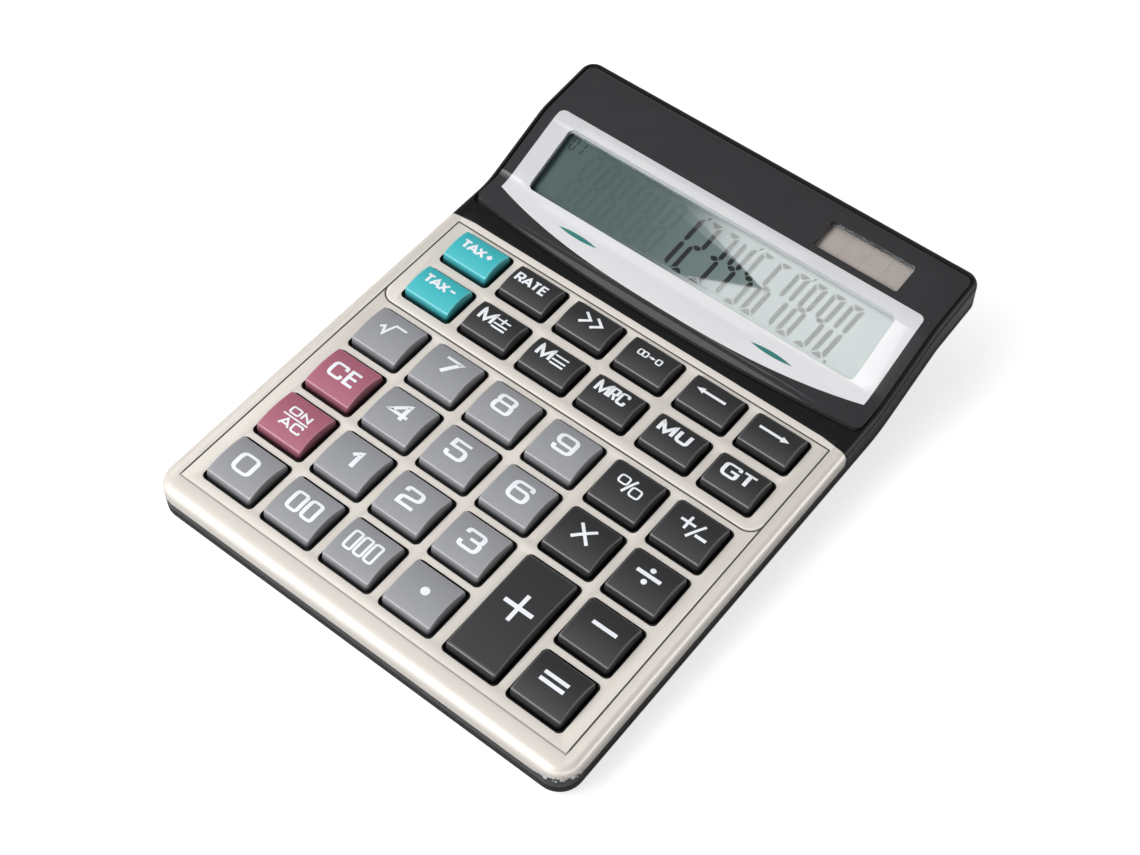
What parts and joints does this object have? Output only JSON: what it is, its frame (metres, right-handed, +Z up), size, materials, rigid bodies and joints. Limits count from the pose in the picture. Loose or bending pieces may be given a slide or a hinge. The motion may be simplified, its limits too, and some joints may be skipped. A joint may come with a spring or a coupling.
{
  "type": "desk calculator",
  "caption": "Thin desk calculator with a bent-up display hood, sprung crowned keys on a dome mat, a wedge base and a sliding battery door.",
  "frame": {"origin": "on the table, under the middle of the calculator's overall length and width", "axes": "+X to the user's right, +Y away from the user towards the display, +Z up"},
  "size_m": [0.1506, 0.2046, 0.04],
  "materials": {
    "upper_case": "champagne lacquer over dark plastic, worn at the front corners",
    "lower_case": "fine matt grain",
    "display_lens": "clear acrylic printed on its back",
    "lcd_glass": "grey-green polariser",
    "lcd_tray": "moulded",
    "lcd_ribbon": "satin film",
    "solar_cell": "smooth",
    "solar_leads": "insulated wire",
    "main_board": "solder mask",
    "controller_chip": "potting resin",
    "key_mat": "silicone",
    "inner_screws": "zinc plated",
    "case_screws": "black oxide",
    "battery": "printed sleeve",
    "contact_spring": "nickel plated",
    "contact_plate": "nickel plated",
    "battery_leads": "insulated wire",
    "rubber_feet": "matt",
    "battery_door": "fine matt grain",
    "key_grey": "fine satin",
    "key_black": "fine satin",
    "key_teal": "fine satin",
    "key_maroon": "fine satin"
  },
  "bodies": {
    "case": {"upper_case": "upper_case", "lower_case": "lower_case", "display_lens": "display_lens", "lcd_glass": "lcd_glass", "lcd_tray": "lcd_tray", "lcd_ribbon": "lcd_ribbon", "solar_cell": "solar_cell", "solar_leads": "solar_leads", "main_board": "main_board", "controller_chip": "controller_chip", "key_mat": "key_mat", "inner_screws": "inner_screws", "case_screws": "case_screws", "battery": "battery", "contact_spring": "contact_spring", "contact_plate": "contact_plate", "battery_leads": "battery_leads", "rubber_feet": "rubber_feet"},
    "battery_door": {"battery_door": "battery_door"},
    "key_0": {"key_0": "key_grey"},
    "key_00": {"key_00": "key_grey"},
    "key_000": {"key_000": "key_grey"},
    "key_point": {"key_point": "key_grey"},
    "key_plus": {"key_plus": "key_black"},
    "key_equals": {"key_equals": "key_black"},
    "key_on_clear": {"key_on_clear": "key_maroon"},
    "key_1": {"key_1": "key_grey"},
    "key_2": {"key_2": "key_grey"},
    "key_3": {"key_3": "key_grey"},
    "key_minus": {"key_minus": "key_black"},
    "key_clear_entry": {"key_clear_entry": "key_maroon"},
    "key_4": {"key_4": "key_grey"},
    "key_5": {"key_5": "key_grey"},
    "key_6": {"key_6": "key_grey"},
    "key_times": {"key_times": "key_black"},
    "key_divide": {"key_divide": "key_black"},
    "key_root": {"key_root": "key_grey"},
    "key_7": {"key_7": "key_grey"},
    "key_8": {"key_8": "key_grey"},
    "key_9": {"key_9": "key_grey"},
    "key_percent": {"key_percent": "key_black"},
    "key_sign": {"key_sign": "key_black"},
    "key_tax_minus": {"key_tax_minus": "key_teal"},
    "key_memory_add": {"key_memory_add": "key_black"},
    "key_memory_subtract": {"key_memory_subtract": "key_black"},
    "key_memory_recall": {"key_memory_recall": "key_black"},
    "key_mark_up": {"key_mark_up": "key_black"},
    "key_grand_total": {"key_grand_total": "key_black"},
    "key_tax_plus": {"key_tax_plus": "key_teal"},
    "key_rate": {"key_rate": "key_black"},
    "key_replay": {"key_replay": "key_black"},
    "key_correct": {"key_correct": "key_black"},
    "key_check_back": {"key_check_back": "key_black"},
    "key_check_next": {"key_check_next": "key_black"}
  },
  "joints": [
    {"name": "battery_door_slide", "type": "slide", "parent": "case", "child": "battery_door", "axis": [0, 1, 0], "range_m": [0, 0.024]},
    {"name": "key_0_press", "type": "slide", "parent": "case", "child": "key_0", "axis": [0, 0.061, -0.9981], "range_m": [0, 0.0015], "stiffness_N_per_m": 400, "springref_m": -0.0005, "deforming": ["key_mat"]},
    {"name": "key_00_press", "type": "slide", "parent": "case", "child": "key_00", "axis": [0, 0.061, -0.9981], "range_m": [0, 0.0015], "stiffness_N_per_m": 400, "springref_m": -0.0005, "deforming": ["key_mat"]},
    {"name": "key_000_press", "type": "slide", "parent": "case", "child": "key_000", "axis": [0, 0.061, -0.9981], "range_m": [0, 0.0015], "stiffness_N_per_m": 400, "springref_m": -0.0005, "deforming": ["key_mat"]},
    {"name": "key_point_press", "type": "slide", "parent": "case", "child": "key_point", "axis": [0, 0.061, -0.9981], "range_m": [0, 0.0015], "stiffness_N_per_m": 400, "springref_m": -0.0005, "deforming": ["key_mat"]},
    {"name": "key_plus_press", "type": "slide", "parent": "case", "child": "key_plus", "axis": [0, 0.061, -0.9981], "range_m": [0, 0.0015], "stiffness_N_per_m": 600, "springref_m": -0.0005, "deforming": ["key_mat"]},
    {"name": "key_equals_press", "type": "slide", "parent": "case", "child": "key_equals", "axis": [0, 0.061, -0.9981], "range_m": [0, 0.0015], "stiffness_N_per_m": 400, "springref_m": -0.0005, "deforming": ["key_mat"]},
    {"name": "key_on_clear_press", "type": "slide", "parent": "case", "child": "key_on_clear", "axis": [0, 0.061, -0.9981], "range_m": [0, 0.0015], "stiffness_N_per_m": 400, "springref_m": -0.0005, "deforming": ["key_mat"]},
    {"name": "key_1_press", "type": "slide", "parent": "case", "child": "key_1", "axis": [0, 0.061, -0.9981], "range_m": [0, 0.0015], "stiffness_N_per_m": 400, "springref_m": -0.0005, "deforming": ["key_mat"]},
    {"name": "key_2_press", "type": "slide", "parent": "case", "child": "key_2", "axis": [0, 0.061, -0.9981], "range_m": [0, 0.0015], "stiffness_N_per_m": 400, "springref_m": -0.0005, "deforming": ["key_mat"]},
    {"name": "key_3_press", "type": "slide", "parent": "case", "child": "key_3", "axis": [0, 0.061, -0.9981], "range_m": [0, 0.0015], "stiffness_N_per_m": 400, "springref_m": -0.0005, "deforming": ["key_mat"]},
    {"name": "key_minus_press", "type": "slide", "parent": "case", "child": "key_minus", "axis": [0, 0.061, -0.9981], "range_m": [0, 0.0015], "stiffness_N_per_m": 400, "springref_m": -0.0005, "deforming": ["key_mat"]},
    {"name": "key_clear_entry_press", "type": "slide", "parent": "case", "child": "key_clear_entry", "axis": [0, 0.061, -0.9981], "range_m": [0, 0.0015], "stiffness_N_per_m": 400, "springref_m": -0.0005, "deforming": ["key_mat"]},
    {"name": "key_4_press", "type": "slide", "parent": "case", "child": "key_4", "axis": [0, 0.061, -0.9981], "range_m": [0, 0.0015], "stiffness_N_per_m": 400, "springref_m": -0.0005, "deforming": ["key_mat"]},
    {"name": "key_5_press", "type": "slide", "parent": "case", "child": "key_5", "axis": [0, 0.061, -0.9981], "range_m": [0, 0.0015], "stiffness_N_per_m": 400, "springref_m": -0.0005, "deforming": ["key_mat"]},
    {"name": "key_6_press", "type": "slide", "parent": "case", "child": "key_6", "axis": [0, 0.061, -0.9981], "range_m": [0, 0.0015], "stiffness_N_per_m": 400, "springref_m": -0.0005, "deforming": ["key_mat"]},
    {"name": "key_times_press", "type": "slide", "parent": "case", "child": "key_times", "axis": [0, 0.061, -0.9981], "range_m": [0, 0.0015], "stiffness_N_per_m": 400, "springref_m": -0.0005, "deforming": ["key_mat"]},
    {"name": "key_divide_press", "type": "slide", "parent": "case", "child": "key_divide", "axis": [0, 0.061, -0.9981], "range_m": [0, 0.0015], "stiffness_N_per_m": 400, "springref_m": -0.0005, "deforming": ["key_mat"]},
    {"name": "key_root_press", "type": "slide", "parent": "case", "child": "key_root", "axis": [0, 0.061, -0.9981], "range_m": [0, 0.0015], "stiffness_N_per_m": 400, "springref_m": -0.0005, "deforming": ["key_mat"]},
    {"name": "key_7_press", "type": "slide", "parent": "case", "child": "key_7", "axis": [0, 0.061, -0.9981], "range_m": [0, 0.0015], "stiffness_N_per_m": 400, "springref_m": -0.0005, "deforming": ["key_mat"]},
    {"name": "key_8_press", "type": "slide", "parent": "case", "child": "key_8", "axis": [0, 0.061, -0.9981], "range_m": [0, 0.0015], "stiffness_N_per_m": 400, "springref_m": -0.0005, "deforming": ["key_mat"]},
    {"name": "key_9_press", "type": "slide", "parent": "case", "child": "key_9", "axis": [0, 0.061, -0.9981], "range_m": [0, 0.0015], "stiffness_N_per_m": 400, "springref_m": -0.0005, "deforming": ["key_mat"]},
    {"name": "key_percent_press", "type": "slide", "parent": "case", "child": "key_percent", "axis": [0, 0.061, -0.9981], "range_m": [0, 0.0015], "stiffness_N_per_m": 400, "springref_m": -0.0005, "deforming": ["key_mat"]},
    {"name": "key_sign_press", "type": "slide", "parent": "case", "child": "key_sign", "axis": [0, 0.061, -0.9981], "range_m": [0, 0.0015], "stiffness_N_per_m": 400, "springref_m": -0.0005, "deforming": ["key_mat"]},
    {"name": "key_tax_minus_press", "type": "slide", "parent": "case", "child": "key_tax_minus", "axis": [0, 0.061, -0.9981], "range_m": [0, 0.0015], "stiffness_N_per_m": 400, "springref_m": -0.0005, "deforming": ["key_mat"]},
    {"name": "key_memory_add_press", "type": "slide", "parent": "case", "child": "key_memory_add", "axis": [0, 0.061, -0.9981], "range_m": [0, 0.0015], "stiffness_N_per_m": 400, "springref_m": -0.0005, "deforming": ["key_mat"]},
    {"name": "key_memory_subtract_press", "type": "slide", "parent": "case", "child": "key_memory_subtract", "axis": [0, 0.061, -0.9981], "range_m": [0, 0.0015], "stiffness_N_per_m": 400, "springref_m": -0.0005, "deforming": ["key_mat"]},
    {"name": "key_memory_recall_press", "type": "slide", "parent": "case", "child": "key_memory_recall", "axis": [0, 0.061, -0.9981], "range_m": [0, 0.0015], "stiffness_N_per_m": 400, "springref_m": -0.0005, "deforming": ["key_mat"]},
    {"name": "key_mark_up_press", "type": "slide", "parent": "case", "child": "key_mark_up", "axis": [0, 0.061, -0.9981], "range_m": [0, 0.0015], "stiffness_N_per_m": 400, "springref_m": -0.0005, "deforming": ["key_mat"]},
    {"name": "key_grand_total_press", "type": "slide", "parent": "case", "child": "key_grand_total", "axis": [0, 0.061, -0.9981], "range_m": [0, 0.0015], "stiffness_N_per_m": 400, "springref_m": -0.0005, "deforming": ["key_mat"]},
    {"name": "key_tax_plus_press", "type": "slide", "parent": "case", "child": "key_tax_plus", "axis": [0, 0.061, -0.9981], "range_m": [0, 0.0015], "stiffness_N_per_m": 400, "springref_m": -0.0005, "deforming": ["key_mat"]},
    {"name": "key_rate_press", "type": "slide", "parent": "case", "child": "key_rate", "axis": [0, 0.061, -0.9981], "range_m": [0, 0.0015], "stiffness_N_per_m": 400, "springref_m": -0.0005, "deforming": ["key_mat"]},
    {"name": "key_replay_press", "type": "slide", "parent": "case", "child": "key_replay", "axis": [0, 0.061, -0.9981], "range_m": [0, 0.0015], "stiffness_N_per_m": 400, "springref_m": -0.0005, "deforming": ["key_mat"]},
    {"name": "key_correct_press", "type": "slide", "parent": "case", "child": "key_correct", "axis": [0, 0.061, -0.9981], "range_m": [0, 0.0015], "stiffness_N_per_m": 400, "springref_m": -0.0005, "deforming": ["key_mat"]},
    {"name": "key_check_back_press", "type": "slide", "parent": "case", "child": "key_check_back", "axis": [0, 0.061, -0.9981], "range_m": [0, 0.0015], "stiffness_N_per_m": 400, "springref_m": -0.0005, "deforming": ["key_mat"]},
    {"name": "key_check_next_press", "type": "slide", "parent": "case", "child": "key_check_next", "axis": [0, 0.061, -0.9981], "range_m": [0, 0.0015], "stiffness_N_per_m": 400, "springref_m": -0.0005, "deforming": ["key_mat"]}
  ]
}
